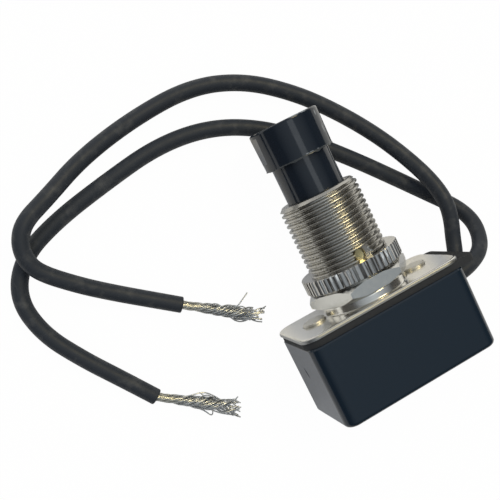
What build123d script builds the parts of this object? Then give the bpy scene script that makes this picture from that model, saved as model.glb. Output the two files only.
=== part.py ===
"""Push-on push-off canopy switch with two leads, lying on its back on a table.

Each piece is drawn upright: z runs along the bushing towards the button and is 0 on top of the
mounting plate, x runs along the plate and the front is -y. lay() then turns the finished piece over
on its back, so that the front looks up, the button points along +Y and the housing rests on z = 0.
The origin is the middle of the housing's resting face. All sizes are millimetres.
"""
import os
from math import cos, pi, radians, tan

from build123d import *

# Threaded bushing, whose thread sets the sizes across the switch. Its neck goes through the plate's boss
# and is flared below it. The thread is cut from inside the knurled nut to the top; where the nuts sit, nut
# and bushing are drawn at the thread's pitch diameter, so that each has its half of the thread's depth.
THREAD_DIAMETER = 11.9
THREAD_PITCH = 25.4 / 32
THREAD_DEPTH = 0.44
THREAD_HALF_DEPTH = 0.26
THREAD_CREST = 0.12
THREAD_FLANK_ANGLE = 30
THREAD_CUTTER_OVERSHOOT = 0.03
BUSHING_ABOVE_PLATE = 16.5
BUSHING_WALL = 1.535
BUSHING_CHAMFER = 0.55
BUSHING_NECK_WALL = 0.7
BUSHING_FLARE_LIP = 0.4
BUSHING_FLARE_HEIGHT = 0.6
NECK_CLEARANCE = 0.05
FLARE_CLEARANCE = 0.3

# Nuts on the thread; the walls are counted from the thread's full diameter
NUT_CLEARANCE = 0.03
HEX_NUT_WALL = 1.05
HEX_NUT_HEIGHT = 1.95
HEX_NUT_FACE_MARGIN = 0.2
HEX_NUT_CHAMFER_ANGLE = 35
NUT_SPACING = 0.35
KNURLED_NUT_WALL = 1.55
KNURLED_NUT_HEIGHT = 2.2
KNURLED_NUT_CHAMFER = 0.1
KNURL_FLUTES = 54
KNURL_DEPTH = 0.24
KNURL_OPENING = 0.44

# Housing; its sides stand a little further out than the knurled nut
HOUSING_SIDE_MARGIN = 0.3
HOUSING_HEIGHT = 12.4
HOUSING_WALL = 1.6
HOUSING_FLOOR = 1.8
HOUSING_CORNER_RADIUS = 1.8
HOUSING_BOTTOM_RADIUS = 0.7
HOUSING_RIM_CHAMFER = 0.2
CAVITY_CORNER_RADIUS = 0.4

# Mounting plate with its drawn boss, and the insulator under it
PLATE_END_OVERHANG = 0.3
PLATE_SIDE_SETBACK = 0.4
PLATE_THICKNESS = 0.6
PLATE_CORNER_RADIUS = 2.4
PLATE_EDGE_RADIUS = 0.4
BOSS_WALL = 0.8
BOSS_HEIGHT = 1.3
BOSS_TOP_FILLET = 0.35
BOSS_FOOT_FILLET = 0.2
INSULATOR_THICKNESS = 1.0
INSULATOR_SETBACK = 0.2
TAB_OVERHANG = 2.2
TAB_CORNER_RADIUS = 1.0

# Plate rivets, close beside the boss
RIVET_FROM_END = 4.085
RIVET_BOSS_GAP = 0.05
RIVET_SHANK_RADIUS = 0.95
RIVET_HEAD_RADIUS = 1.75
RIVET_HEAD_HEIGHT = 0.4
RIVET_HEAD_FILLET = 0.18
RIVET_OFF_FLOOR = 3.2
RIVET_CLEARANCE = 0.08
RIVET_POST_WALL = 0.8

# Button
CAP_LIP = 0.875
CAP_HEIGHT = 5.55
CAP_TOP_FILLET = 0.3
CAP_DRAFT = 0.12
CAP_FLAT_DEPTH = 0.23
CAP_FLAT_BELOW_TOP = 0.6
CAP_FLAT_LIP = 1.15
STEM_CLEARANCE = 0.09
STEM_SHOWN = 5.45
COLLAR_LIP = 0.85
COLLAR_HEIGHT = 3.0
COLLAR_CLEARANCE = 0.1
LUG_WIDTH = 2.0
LUG_HEIGHT = 1.1
LUG_CLEARANCE = 0.2
GUIDE_RIB_WIDTH = 1.0
GUIDE_RIB_DEPTH = 0.5
BUTTON_TRAVEL = 3.4

# Ratchet: crown on the stem, teeth on the rotor
TEETH = 8
TOOTH_HEIGHT = 1.5
TOOTH_INNER_MARGIN = 0.2
TOOTH_OUTER_MARGIN = 0.42
TOOTH_ROOT_DEPTH = 0.3
TOOTH_GAP = 0.4
TOOTH_BACKLASH_DEG = 3.0

# Rotor, pivot, washer and spring
ROTOR_MARGIN = 0.13
ROTOR_KEY_LENGTH = 3.4
ROTOR_KEY_WIDTH = 2.6
PIVOT_RADIUS = 1.0
PIVOT_CLEARANCE = 0.05
PIVOT_DEPTH = 1.0
PIVOT_SHORT_OF_TOP = 0.2
WASHER_LIP = 0.1
WASHER_THICKNESS = 0.4
SPRING_RADIUS = 2.1
SPRING_WIRE_RADIUS = 0.28
SPRING_WIRE_SIDES = 8
SPRING_TURNS = 7
SPRING_END_GAP = 0.02
SPRING_POCKET_CLEARANCE = 0.37
SPRING_POCKET_ABOVE_PLATE = 6.0

# Contacts
BRIDGE_WALL_GAP = 0.8
BRIDGE_WIDTH = 2.6
BRIDGE_THICKNESS = 0.4
BRIDGE_KEY_CLEARANCE = 0.04
STRIP_THICKNESS = 0.5
STRIP_WIDTH = 2.0
STRIP_WALL_GAP = 0.7
PAD_LENGTH = 3.0
PAD_REACH = 1.5
DOME_RADIUS = 1.1
DOME_HEIGHT = 0.5
CONTACT_RIVET_RADIUS = 0.6
CONTACT_RIVET_OFFSET = 0.75
CONTACT_RIVET_HEAD_RADIUS = 1.0
CONTACT_RIVET_HEAD_HEIGHT = 0.5
CONTACT_RIVET_DEPTH = 1.2
CONTACT_RIVET_CLEARANCE = 0.04
RISER_WALL_GAP = 0.15
RISER_INNER_EDGE = 0.5
RISER_HEIGHT_OVER_LEAD = 1.3

# Leads
LEAD_RADIUS = 1.2
LEAD_SPACING = 3.0
LEAD_BELOW_RIM = 2.4
LEAD_CLEARANCE = 0.12
CONDUCTOR_RADIUS = 0.6
CONDUCTOR_CLEARANCE = 0.05
CONDUCTOR_PAST_RISER = 0.12
BARE_END_TIP_RADIUS = 0.95
ARC_SHARE = 0.45

# How near an edge has to lie to a plane to be picked
PICK_TOLERANCE = 1e-3

# Heights worked out along the bushing
PLATE_BOTTOM = -PLATE_THICKNESS
RIM = PLATE_BOTTOM - INSULATOR_THICKNESS
BASE = RIM - HOUSING_HEIGHT
FLOOR = BASE + HOUSING_FLOOR
MIDDLE = (RIM + BASE) / 2
BOSS_UNDERSIDE = BOSS_HEIGHT - PLATE_THICKNESS
FLARE_BOTTOM = BOSS_UNDERSIDE - BUSHING_FLARE_HEIGHT
HEX_TOP = BOSS_HEIGHT + HEX_NUT_HEIGHT
KNURLED_BOTTOM = HEX_TOP + NUT_SPACING
KNURLED_TOP = KNURLED_BOTTOM + KNURLED_NUT_HEIGHT
THREAD_START = KNURLED_TOP - THREAD_PITCH
CAP_BOTTOM = BUSHING_ABOVE_PLATE + STEM_SHOWN
CAP_TOP = CAP_BOTTOM + CAP_HEIGHT
COLLAR_TOP = FLARE_BOTTOM - COLLAR_CLEARANCE
CROWN_ROOT = COLLAR_TOP - COLLAR_HEIGHT
BRIDGE_BOTTOM = FLOOR + STRIP_THICKNESS + DOME_HEIGHT
ROTOR_BOTTOM = BRIDGE_BOTTOM + BRIDGE_THICKNESS
ROTOR_ROOT = CROWN_ROOT - BUTTON_TRAVEL - TOOTH_HEIGHT - TOOTH_GAP
WASHER_TOP = ROTOR_ROOT + WASHER_THICKNESS
LEAD_LEVEL = RIM - LEAD_BELOW_RIM

# Places worked out across the switch
THREAD_RADIUS = THREAD_DIAMETER / 2
PITCH_RADIUS = THREAD_RADIUS - THREAD_HALF_DEPTH
NUT_BORE_RADIUS = PITCH_RADIUS + NUT_CLEARANCE
HEX_NUT_FLATS = THREAD_DIAMETER + 2 * HEX_NUT_WALL
KNURLED_NUT_RADIUS = THREAD_RADIUS + KNURLED_NUT_WALL
BUSHING_BORE_RADIUS = THREAD_RADIUS - BUSHING_WALL
BUSHING_NECK_RADIUS = BUSHING_BORE_RADIUS + BUSHING_NECK_WALL
BUSHING_FLARE_RADIUS = BUSHING_NECK_RADIUS + BUSHING_FLARE_LIP
BOSS_POCKET_RADIUS = BUSHING_FLARE_RADIUS + FLARE_CLEARANCE
BOSS_RADIUS = BOSS_POCKET_RADIUS + BOSS_WALL
STEM_RADIUS = BUSHING_BORE_RADIUS - STEM_CLEARANCE
CAP_RADIUS = STEM_RADIUS + CAP_LIP
COLLAR_RADIUS = STEM_RADIUS + COLLAR_LIP
RIVET_PLACE = BOSS_RADIUS + BOSS_FOOT_FILLET + RIVET_BOSS_GAP + RIVET_HEAD_RADIUS
RIVET_TIP = FLOOR + RIVET_OFF_FLOOR
RIVET_HOLE_RADIUS = RIVET_SHANK_RADIUS + RIVET_CLEARANCE
RIVET_POST_RADIUS = RIVET_HOLE_RADIUS + RIVET_POST_WALL
HOUSING_LENGTH = 2 * (RIVET_PLACE + RIVET_FROM_END)
HOUSING_WIDTH = 2 * (KNURLED_NUT_RADIUS + HOUSING_SIDE_MARGIN)
CAVITY_HALF_LENGTH = HOUSING_LENGTH / 2 - HOUSING_WALL
CAVITY_HALF_WIDTH = HOUSING_WIDTH / 2 - HOUSING_WALL
PLATE_LENGTH = HOUSING_LENGTH + 2 * PLATE_END_OVERHANG
PLATE_WIDTH = HOUSING_WIDTH - 2 * PLATE_SIDE_SETBACK
LUG_REACH = CAVITY_HALF_WIDTH - LUG_CLEARANCE
SPRING_OUTER_RADIUS = SPRING_RADIUS + SPRING_WIRE_RADIUS
SPRING_POCKET_RADIUS = SPRING_OUTER_RADIUS + SPRING_POCKET_CLEARANCE
WASHER_RADIUS = SPRING_OUTER_RADIUS + WASHER_LIP
TOOTH_INNER_RADIUS = SPRING_POCKET_RADIUS + TOOTH_INNER_MARGIN
TOOTH_OUTER_RADIUS = STEM_RADIUS - TOOTH_OUTER_MARGIN
ROTOR_RADIUS = TOOTH_OUTER_RADIUS / cos(pi / TEETH) + ROTOR_MARGIN
BRIDGE_ARM = CAVITY_HALF_WIDTH - BRIDGE_WALL_GAP
STRIP_OUTER = CAVITY_HALF_WIDTH - STRIP_WALL_GAP
STRIP_INNER = STRIP_OUTER - STRIP_WIDTH
DOME_PLACE = BRIDGE_ARM - DOME_RADIUS
RISER_OUTER_FACE = CAVITY_HALF_LENGTH - RISER_WALL_GAP
RISER_INNER_FACE = RISER_OUTER_FACE - STRIP_THICKNESS
LEAD_SLOT_RADIUS = LEAD_RADIUS + LEAD_CLEARANCE

# Routes of the leads on the table, in the lying frame: out of the housing's end, down and round
LEAD_Z = LEAD_RADIUS
LEAD_EXIT_Y = LEAD_LEVEL - MIDDLE
LEAD_A_EXIT_Z = HOUSING_WIDTH / 2 - LEAD_SPACING / 2
LEAD_B_EXIT_Z = HOUSING_WIDTH / 2 + LEAD_SPACING / 2
LEAD_A_ROUTE = [
    (RISER_OUTER_FACE, LEAD_EXIT_Y, LEAD_A_EXIT_Z),
    (13.9, LEAD_EXIT_Y, LEAD_A_EXIT_Z),
    (16.4, 5.4, 5.6),
    (17.5, 8.2, 5.1),
    (18.3, 10.9, 5.5),
    (18.7, 13.8, 5.6),
    (18.3, 17.5, 4.7),
    (17.1, 21.8, 3.0),
    (14.8, 26.9, 1.6),
    (11.0, 32.4, LEAD_Z),
    (6.0, 38.0, LEAD_Z),
    (-0.6, 43.0, LEAD_Z),
    (-8.2, 45.4, LEAD_Z),
    (-17.6, 44.8, LEAD_Z),
    (-26.6, 42.9, 1.6),
    (-33.4, 40.0, 3.3),
    (-37.4, 38.5, 4.2),
    (-39.2, 36.4, 4.1),
    (-39.7, 33.9, 3.8),
    (-38.9, 31.5, 3.3),
    (-35.0, 27.5, 2.5),
    (-31.3, 24.3, 1.5),
    (-27.4, 21.2, LEAD_Z),
    (-23.7, 18.3, LEAD_Z),
]
LEAD_A_TIP = (-13.8, 11.1, BARE_END_TIP_RADIUS)
LEAD_B_ROUTE = [
    (RISER_OUTER_FACE, LEAD_EXIT_Y, LEAD_B_EXIT_Z),
    (14.6, LEAD_EXIT_Y, LEAD_B_EXIT_Z),
    (18.6, 4.6, 8.2),
    (21.1, 5.9, 6.0),
    (22.4, 8.6, 3.8),
    (21.6, 11.6, 2.1),
    (19.4, 14.4, LEAD_Z),
    (15.2, 19.3, LEAD_Z),
    (10.2, 25.0, LEAD_Z),
    (4.9, 30.5, LEAD_Z),
    (-0.8, 35.6, LEAD_Z),
    (-8.0, 39.1, LEAD_Z),
    (-16.2, 40.0, LEAD_Z),
    (-25.4, 38.5, LEAD_Z),
    (-33.6, 36.8, LEAD_Z),
    (-39.8, 34.4, LEAD_Z),
    (-43.2, 29.8, LEAD_Z),
    (-42.6, 23.8, LEAD_Z),
    (-39.4, 17.9, LEAD_Z),
    (-36.1, 12.9, LEAD_Z),
    (-33.1, 8.2, LEAD_Z),
]
LEAD_B_TIP = (-23.0, 0.4, BARE_END_TIP_RADIUS)


def lay(piece):
    """Turns an upright piece over on its back and sets the housing on the table."""
    return Pos(0, -MIDDLE, HOUSING_WIDTH / 2) * Rot(X=-90) * piece


def disc(radius, low, high, x=0, y=0):
    """Round bar between two heights."""
    return Pos(x, y, low) * extrude(Circle(radius), amount=high - low)


def block(x_range, y_range, z_range):
    """Box between two corners."""
    sizes = [high - low for low, high in (x_range, y_range, z_range)]
    middle = [(high + low) / 2 for low, high in (x_range, y_range, z_range)]
    return Pos(*middle) * Box(*sizes)


def turned(points):
    """Solid of revolution about the bushing's axis from (radius, height) points."""
    return revolve(Plane.XZ * make_face(Polyline(*points, close=True)), Axis.Z)


def edges_at(piece, height, axis=Axis.Z):
    """Edges that lie in one plane across an axis."""
    return piece.edges().filter_by_position(axis, height - PICK_TOLERANCE, height + PICK_TOLERANCE)


def tooth_ring(pointing_up):
    """Ratchet teeth on their root plane, either the rotor's or the crown that fits it."""
    half_pitch = pi / TEETH
    sign = 1 if pointing_up else -1
    teeth = []
    for step in range(TEETH):
        faces = []
        for radius in (TOOTH_INNER_RADIUS, TOOTH_OUTER_RADIUS):
            half = radius * tan(half_pitch)
            outline = [(-half, -TOOTH_ROOT_DEPTH), (half, -TOOTH_ROOT_DEPTH), (half, TOOTH_HEIGHT), (-half, 0)]
            corners = [(radius, sign * along, sign * up) for along, up in outline]
            faces.append(make_face(Polyline(*corners, close=True)))
        teeth.append(Rot(Z=(step + 0.5) * 360 / TEETH) * loft(faces, ruled=True))
    return teeth


def make_housing():
    """Moulded box, open at the top, with rivet posts, guide ribs and a slot for the leads."""
    outline = RectangleRounded(HOUSING_LENGTH, HOUSING_WIDTH, HOUSING_CORNER_RADIUS)
    shell = Pos(0, 0, BASE) * extrude(outline, amount=HOUSING_HEIGHT)
    shell = fillet(edges_at(shell, BASE), HOUSING_BOTTOM_RADIUS)
    shell = chamfer(edges_at(shell, RIM), HOUSING_RIM_CHAMFER)
    cavity = RectangleRounded(2 * CAVITY_HALF_LENGTH, 2 * CAVITY_HALF_WIDTH, CAVITY_CORNER_RADIUS)
    shell -= Pos(0, 0, FLOOR) * extrude(cavity, amount=HOUSING_HEIGHT)
    for side in (-1, 1):
        rivet_x = side * RIVET_PLACE
        shell += disc(RIVET_POST_RADIUS, FLOOR - HOUSING_FLOOR / 2, RIM, rivet_x)
        shell -= disc(RIVET_HOLE_RADIUS, RIVET_TIP - RIVET_CLEARANCE, RIM, rivet_x)
        for hand in (-1, 1):
            rib_middle = hand * (LUG_WIDTH / 2 + LUG_CLEARANCE + GUIDE_RIB_WIDTH / 2)
            rib_x = (rib_middle - GUIDE_RIB_WIDTH / 2, rib_middle + GUIDE_RIB_WIDTH / 2)
            rib_tip = side * (CAVITY_HALF_WIDTH - GUIDE_RIB_DEPTH)
            rib_root = side * (CAVITY_HALF_WIDTH + HOUSING_WALL / 2)
            rib_y = sorted((rib_tip, rib_root))
            shell += block(rib_x, rib_y, (FLOOR - HOUSING_FLOOR / 2, RIM - HOUSING_RIM_CHAMFER))
        shell -= disc(
            CONTACT_RIVET_RADIUS + CONTACT_RIVET_CLEARANCE,
            FLOOR - CONTACT_RIVET_DEPTH - CONTACT_RIVET_CLEARANCE, FLOOR,
            *contact_rivet_place(side),
        )
    shell -= disc(PIVOT_RADIUS, FLOOR - PIVOT_DEPTH, FLOOR)
    half_slot = LEAD_SPACING / 2 + LEAD_SLOT_RADIUS
    slot_x = (CAVITY_HALF_LENGTH - RISER_WALL_GAP, HOUSING_LENGTH / 2 + HOUSING_WALL)
    shell -= block(slot_x, (-half_slot + LEAD_SLOT_RADIUS, half_slot - LEAD_SLOT_RADIUS),
                   (LEAD_LEVEL - LEAD_SLOT_RADIUS, RIM))
    for side in (-1, 1):
        middle = side * LEAD_SPACING / 2
        shell -= block(slot_x, (middle - LEAD_SLOT_RADIUS, middle + LEAD_SLOT_RADIUS), (LEAD_LEVEL, RIM))
        bar = Pos(slot_x[0], middle, LEAD_LEVEL) * Rot(Y=90) * extrude(
            Circle(LEAD_SLOT_RADIUS), amount=slot_x[1] - slot_x[0])
        shell -= bar
    return shell


def make_mounting_plate():
    """Stamped plate with a drawn boss that the bushing's neck is flared into."""
    plate = extrude(RectangleRounded(PLATE_LENGTH, PLATE_WIDTH, PLATE_CORNER_RADIUS), amount=-PLATE_THICKNESS)
    plate = fillet(edges_at(plate, 0), PLATE_EDGE_RADIUS)
    plate += disc(BOSS_RADIUS, PLATE_BOTTOM, BOSS_HEIGHT)
    rings = edges_at(plate, 0).filter_by(GeomType.CIRCLE)
    foot = [ring for ring in rings if abs(ring.radius - BOSS_RADIUS) < PICK_TOLERANCE]
    plate = fillet(foot, BOSS_FOOT_FILLET)
    plate = fillet(edges_at(plate, BOSS_HEIGHT), BOSS_TOP_FILLET)
    plate -= disc(BOSS_POCKET_RADIUS, PLATE_BOTTOM, BOSS_UNDERSIDE)
    plate -= disc(BUSHING_NECK_RADIUS + NECK_CLEARANCE, PLATE_BOTTOM, BOSS_HEIGHT)
    for side in (-1, 1):
        plate -= disc(RIVET_HOLE_RADIUS, PLATE_BOTTOM, BOSS_HEIGHT, side * RIVET_PLACE)
    return plate


def make_insulator_sheet():
    """Fibre sheet under the plate, with a tab that covers the leads' slot."""
    left = -PLATE_LENGTH / 2 + INSULATOR_SETBACK
    width = PLATE_WIDTH - 2 * INSULATOR_SETBACK
    right = HOUSING_LENGTH / 2 + TAB_OVERHANG
    body = Pos((left + right) / 2, 0, RIM) * extrude(Rectangle(right - left, width), amount=INSULATOR_THICKNESS)
    body = fillet(edges_at(body, right, Axis.X).filter_by(Axis.Z), TAB_CORNER_RADIUS)
    body = fillet(edges_at(body, left, Axis.X).filter_by(Axis.Z), PLATE_CORNER_RADIUS)
    body -= disc(BOSS_POCKET_RADIUS, RIM, PLATE_BOTTOM)
    for side in (-1, 1):
        body -= disc(RIVET_HOLE_RADIUS, RIM, PLATE_BOTTOM, side * RIVET_PLACE)
    return body


def make_plate_rivet(side):
    """Flat-headed rivet through plate and insulator into a post of the housing."""
    rivet = disc(RIVET_HEAD_RADIUS, 0, RIVET_HEAD_HEIGHT)
    rivet = fillet(edges_at(rivet, RIVET_HEAD_HEIGHT), RIVET_HEAD_FILLET)
    rivet += disc(RIVET_SHANK_RADIUS, RIVET_TIP, RIVET_HEAD_HEIGHT / 2)
    return Pos(side * RIVET_PLACE, 0, 0) * rivet


def thread_cutters():
    """Right-hand thread groove, one piece for each turn, running out past the bushing's top."""
    flank = tan(radians(THREAD_FLANK_ANGLE))
    half_mouth = (THREAD_PITCH - THREAD_CREST) / 2 + THREAD_CUTTER_OVERSHOOT * flank
    half_root = half_mouth - (THREAD_DEPTH + THREAD_CUTTER_OVERSHOOT) * flank
    path = Helix(pitch=THREAD_PITCH, height=THREAD_PITCH, radius=THREAD_RADIUS)
    section = Plane(path @ 0, x_dir=(1, 0, 0), z_dir=path % 0) * make_face(Polyline(
        (THREAD_CUTTER_OVERSHOOT, -half_mouth),
        (THREAD_CUTTER_OVERSHOOT, half_mouth),
        (-THREAD_DEPTH, half_root),
        (-THREAD_DEPTH, -half_root),
        close=True,
    ))
    turn = sweep(section, path=path, is_frenet=True)
    count = int((BUSHING_ABOVE_PLATE - THREAD_START) / THREAD_PITCH) + 2
    return [Pos(0, 0, THREAD_START + number * THREAD_PITCH) * turn for number in range(count)]


def make_threaded_bushing():
    """Bushing with a cut thread and a chamfered top; its neck and flare hold it in the plate's boss."""
    bushing = turned([
        (BUSHING_BORE_RADIUS, FLARE_BOTTOM),
        (BUSHING_FLARE_RADIUS, FLARE_BOTTOM),
        (BUSHING_FLARE_RADIUS, BOSS_UNDERSIDE),
        (BUSHING_NECK_RADIUS, BOSS_UNDERSIDE),
        (BUSHING_NECK_RADIUS, BOSS_HEIGHT),
        (PITCH_RADIUS, BOSS_HEIGHT),
        (PITCH_RADIUS, KNURLED_TOP),
        (THREAD_RADIUS, KNURLED_TOP),
        (THREAD_RADIUS, BUSHING_ABOVE_PLATE - BUSHING_CHAMFER),
        (THREAD_RADIUS - BUSHING_CHAMFER, BUSHING_ABOVE_PLATE),
        (BUSHING_BORE_RADIUS, BUSHING_ABOVE_PLATE),
    ])
    return bushing - thread_cutters()


def make_hex_nut():
    """Thin hexagon nut with its corners chamfered on both faces and two flats parallel to the front."""
    corner = HEX_NUT_FLATS / 2 / cos(radians(30))
    face_radius = HEX_NUT_FLATS / 2 + HEX_NUT_FACE_MARGIN
    drop = (corner - face_radius) * tan(radians(HEX_NUT_CHAMFER_ANGLE))
    nut = Pos(0, 0, BOSS_HEIGHT) * extrude(RegularPolygon(corner, 6), amount=HEX_NUT_HEIGHT)
    nut &= turned([
        (NUT_BORE_RADIUS, BOSS_HEIGHT),
        (face_radius, BOSS_HEIGHT),
        (corner, BOSS_HEIGHT + drop),
        (corner, HEX_TOP - drop),
        (face_radius, HEX_TOP),
        (NUT_BORE_RADIUS, HEX_TOP),
    ])
    return nut


def make_knurled_nut():
    """Round nut with straight flutes all round and a chamfer on both faces."""
    radius = KNURLED_NUT_RADIUS
    flute = make_face(Polyline(
        (radius - KNURL_DEPTH, 0),
        (radius + KNURL_DEPTH, -KNURL_OPENING),
        (radius + KNURL_DEPTH, KNURL_OPENING),
        close=True,
    ))
    flutes = [Rot(Z=step * 360 / KNURL_FLUTES) * flute for step in range(KNURL_FLUTES)]
    outline = Circle(radius) - flutes
    nut = Pos(0, 0, KNURLED_BOTTOM) * extrude(outline, amount=KNURLED_NUT_HEIGHT)
    nut &= turned([
        (NUT_BORE_RADIUS, KNURLED_BOTTOM),
        (radius - KNURLED_NUT_CHAMFER, KNURLED_BOTTOM),
        (radius, KNURLED_BOTTOM + KNURLED_NUT_CHAMFER),
        (radius, KNURLED_TOP - KNURLED_NUT_CHAMFER),
        (radius - KNURLED_NUT_CHAMFER, KNURLED_TOP),
        (NUT_BORE_RADIUS, KNURLED_TOP),
    ])
    return nut


def make_button():
    """One moulding: cap with two flats, stem, collar with two guide lugs, and the ratchet crown below."""
    pocket_top = SPRING_POCKET_ABOVE_PLATE
    button = turned([
        (0, pocket_top),
        (SPRING_POCKET_RADIUS, pocket_top),
        (SPRING_POCKET_RADIUS, CROWN_ROOT),
        (COLLAR_RADIUS, CROWN_ROOT),
        (COLLAR_RADIUS, COLLAR_TOP),
        (STEM_RADIUS, COLLAR_TOP),
        (STEM_RADIUS, CAP_BOTTOM),
        (CAP_RADIUS - CAP_DRAFT, CAP_BOTTOM),
        (CAP_RADIUS, CAP_TOP),
        (0, CAP_TOP),
    ])
    button = fillet(edges_at(button, CAP_TOP), CAP_TOP_FILLET)
    flat_z = (CAP_BOTTOM + CAP_FLAT_LIP, CAP_TOP - CAP_FLAT_BELOW_TOP)
    for side in (-1, 1):
        flat_x = sorted((side * (CAP_RADIUS - CAP_FLAT_DEPTH), side * (CAP_RADIUS + CAP_FLAT_DEPTH)))
        button -= block(flat_x, (-CAP_RADIUS, CAP_RADIUS), flat_z)
        lug_y = sorted((side * STEM_RADIUS, side * LUG_REACH))
        button += block((-LUG_WIDTH / 2, LUG_WIDTH / 2), lug_y, (CROWN_ROOT, CROWN_ROOT + LUG_HEIGHT))
    crown = [Pos(0, 0, CROWN_ROOT) * Rot(Z=TOOTH_BACKLASH_DEG) * tooth for tooth in tooth_ring(False)]
    return button + crown


def make_index_rotor():
    """Moulded rotor with ratchet teeth on top and a key below that drives the contact bridge."""
    rotor = disc(ROTOR_RADIUS, ROTOR_BOTTOM, ROTOR_ROOT)
    rotor += [Pos(0, 0, ROTOR_ROOT) * tooth for tooth in tooth_ring(True)]
    key = (-ROTOR_KEY_LENGTH / 2, ROTOR_KEY_LENGTH / 2), (-ROTOR_KEY_WIDTH / 2, ROTOR_KEY_WIDTH / 2)
    rotor += block(*key, (BRIDGE_BOTTOM, ROTOR_BOTTOM))
    return rotor - disc(PIVOT_RADIUS + PIVOT_CLEARANCE, BRIDGE_BOTTOM, ROTOR_ROOT + TOOTH_HEIGHT)


def make_rotor_pivot():
    """Pin in the housing's floor that the rotor turns on."""
    return disc(PIVOT_RADIUS, FLOOR - PIVOT_DEPTH, ROTOR_ROOT - PIVOT_SHORT_OF_TOP)


def make_contact_bridge():
    """Four-armed spring strip on the rotor's key; opposite arms join the two contacts."""
    arm = SlotOverall(2 * BRIDGE_ARM, BRIDGE_WIDTH)
    key_hole = Rectangle(ROTOR_KEY_LENGTH + 2 * BRIDGE_KEY_CLEARANCE, ROTOR_KEY_WIDTH + 2 * BRIDGE_KEY_CLEARANCE)
    outline = arm + Rot(Z=90) * arm + Circle(ROTOR_KEY_LENGTH) - key_hole
    return Pos(0, 0, BRIDGE_BOTTOM) * extrude(outline, amount=BRIDGE_THICKNESS)


def make_thrust_washer():
    """Washer between the rotor's hub and the spring."""
    washer = disc(WASHER_RADIUS, ROTOR_ROOT, WASHER_TOP)
    return washer - disc(PIVOT_RADIUS + PIVOT_CLEARANCE, ROTOR_ROOT, WASHER_TOP)


def make_return_spring():
    """Compression spring from the washer to the end of the pocket in the stem."""
    low = WASHER_TOP + SPRING_WIRE_RADIUS + SPRING_END_GAP
    high = SPRING_POCKET_ABOVE_PLATE - SPRING_WIRE_RADIUS - SPRING_END_GAP
    coil = Pos(0, 0, low) * Helix(pitch=(high - low) / SPRING_TURNS, height=high - low, radius=SPRING_RADIUS)
    section = Plane(coil @ 0, z_dir=coil % 0) * RegularPolygon(SPRING_WIRE_RADIUS, SPRING_WIRE_SIDES)
    return sweep(section, path=coil, is_frenet=True)


def contact_rivet_place(side):
    """Where the rivet of one contact goes: in its strip, outside the bridge's reach."""
    return side * (DOME_PLACE + CONTACT_RIVET_OFFSET), -side * (STRIP_OUTER + STRIP_INNER) / 2


def make_contact(side):
    """Stamped contact: pad with a dome, strip along the wall and a riser that takes a lead."""
    hand = -side
    pad_x = sorted((side * (DOME_PLACE - PAD_LENGTH / 2), side * (DOME_PLACE + PAD_LENGTH / 2)))
    strip_x = (min(pad_x[0], RISER_INNER_FACE), RISER_OUTER_FACE)
    level = (FLOOR, FLOOR + STRIP_THICKNESS)
    strip_y = sorted((hand * STRIP_INNER, hand * STRIP_OUTER))
    pad_y = sorted((-hand * PAD_REACH, hand * STRIP_OUTER))
    contact = block(strip_x, strip_y, level) + block(pad_x, pad_y, level)
    dome = disc(DOME_RADIUS, FLOOR, BRIDGE_BOTTOM, side * DOME_PLACE)
    contact += fillet(edges_at(dome, BRIDGE_BOTTOM), DOME_HEIGHT / 2)
    riser_x = (RISER_INNER_FACE, RISER_OUTER_FACE)
    foot_y = sorted((hand * RISER_INNER_EDGE, hand * STRIP_OUTER))
    head_y = sorted((hand * RISER_INNER_EDGE, hand * (LEAD_SPACING - RISER_INNER_EDGE)))
    contact += block(riser_x, foot_y, (FLOOR, FLOOR + STRIP_WIDTH))
    contact += block(riser_x, head_y, (FLOOR, LEAD_LEVEL + RISER_HEIGHT_OVER_LEAD))
    eye = Pos(RISER_INNER_FACE, hand * LEAD_SPACING / 2, LEAD_LEVEL) * Rot(Y=90) * extrude(
        Circle(CONDUCTOR_RADIUS + CONDUCTOR_CLEARANCE), amount=STRIP_THICKNESS)
    contact -= eye
    rivet_hole = CONTACT_RIVET_RADIUS + CONTACT_RIVET_CLEARANCE
    return contact - disc(rivet_hole, *level, *contact_rivet_place(side))


def make_contact_rivet(side):
    """Small rivet that holds a contact to the floor."""
    top = FLOOR + STRIP_THICKNESS
    rivet = disc(CONTACT_RIVET_HEAD_RADIUS, top, top + CONTACT_RIVET_HEAD_HEIGHT)
    rivet = fillet(edges_at(rivet, top + CONTACT_RIVET_HEAD_HEIGHT), CONTACT_RIVET_HEAD_HEIGHT / 2)
    rivet += disc(CONTACT_RIVET_RADIUS, FLOOR - CONTACT_RIVET_DEPTH, top)
    return Pos(*contact_rivet_place(side), 0) * rivet


def make_inner_end(hand):
    """Stripped inner end of a lead, through the eye of its riser."""
    length = STRIP_THICKNESS + CONDUCTOR_PAST_RISER
    start = Pos(RISER_OUTER_FACE - length, hand * LEAD_SPACING / 2, LEAD_LEVEL)
    return start * Rot(Y=90) * extrude(Circle(CONDUCTOR_RADIUS), amount=length)


def make_lead(name, route):
    """Lead insulation along its route: straight runs joined by the largest arcs that fit."""
    points = [Vector(*point) for point in route]
    radii = []
    for before, here, after in zip(points, points[1:], points[2:]):
        turn = radians((here - before).get_angle(after - here))
        shorter = min((here - before).length, (after - here).length)
        radii.append(ARC_SHARE * shorter / tan(turn / 2))
    path = FilletPolyline(*points, radius=radii)
    tube = sweep(Plane(path @ 0, z_dir=path % 0) * Circle(LEAD_RADIUS), path=path)
    section = pi * LEAD_RADIUS ** 2
    print(name, "length", round(path.length, 1), "volume over section", round(tube.volume / section, 1))
    print(name, "radii", [round(radius, 1) for radius in radii])
    return tube


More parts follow.
